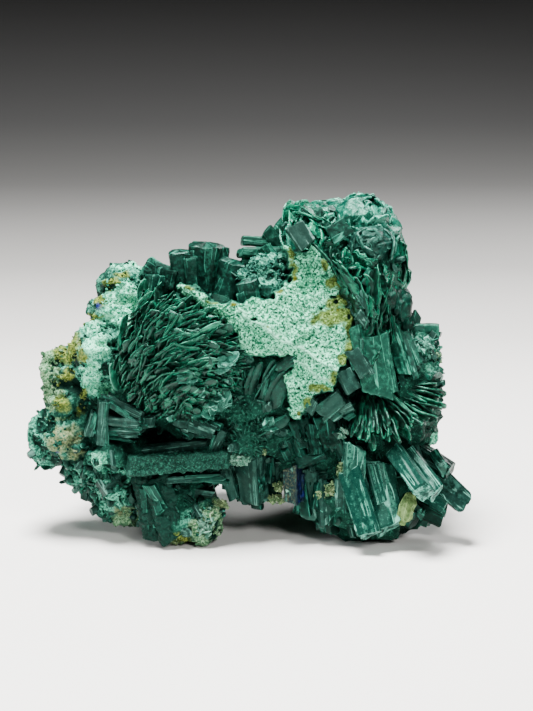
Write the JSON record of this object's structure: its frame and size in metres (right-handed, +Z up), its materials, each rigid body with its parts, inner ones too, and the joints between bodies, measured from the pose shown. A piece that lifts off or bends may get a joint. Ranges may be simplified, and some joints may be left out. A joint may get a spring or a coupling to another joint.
{
  "type": "malachite after azurite specimen",
  "caption": "Cluster of malachite crystals after azurite, grown together with velvety crust, that stands on its own feet.",
  "frame": {"origin": "middle of the bottom of the specimen's box, on the surface it stands on", "axes": "+X along the longest side, to the right as the shown side is seen; -Y towards the viewer; +Z up"},
  "size_m": [0.073, 0.041, 0.0568],
  "materials": {
    "malachite": "satin"
  },
  "bodies": {
    "root": {"malachite_cluster": "malachite"}
  },
  "joints": []
}
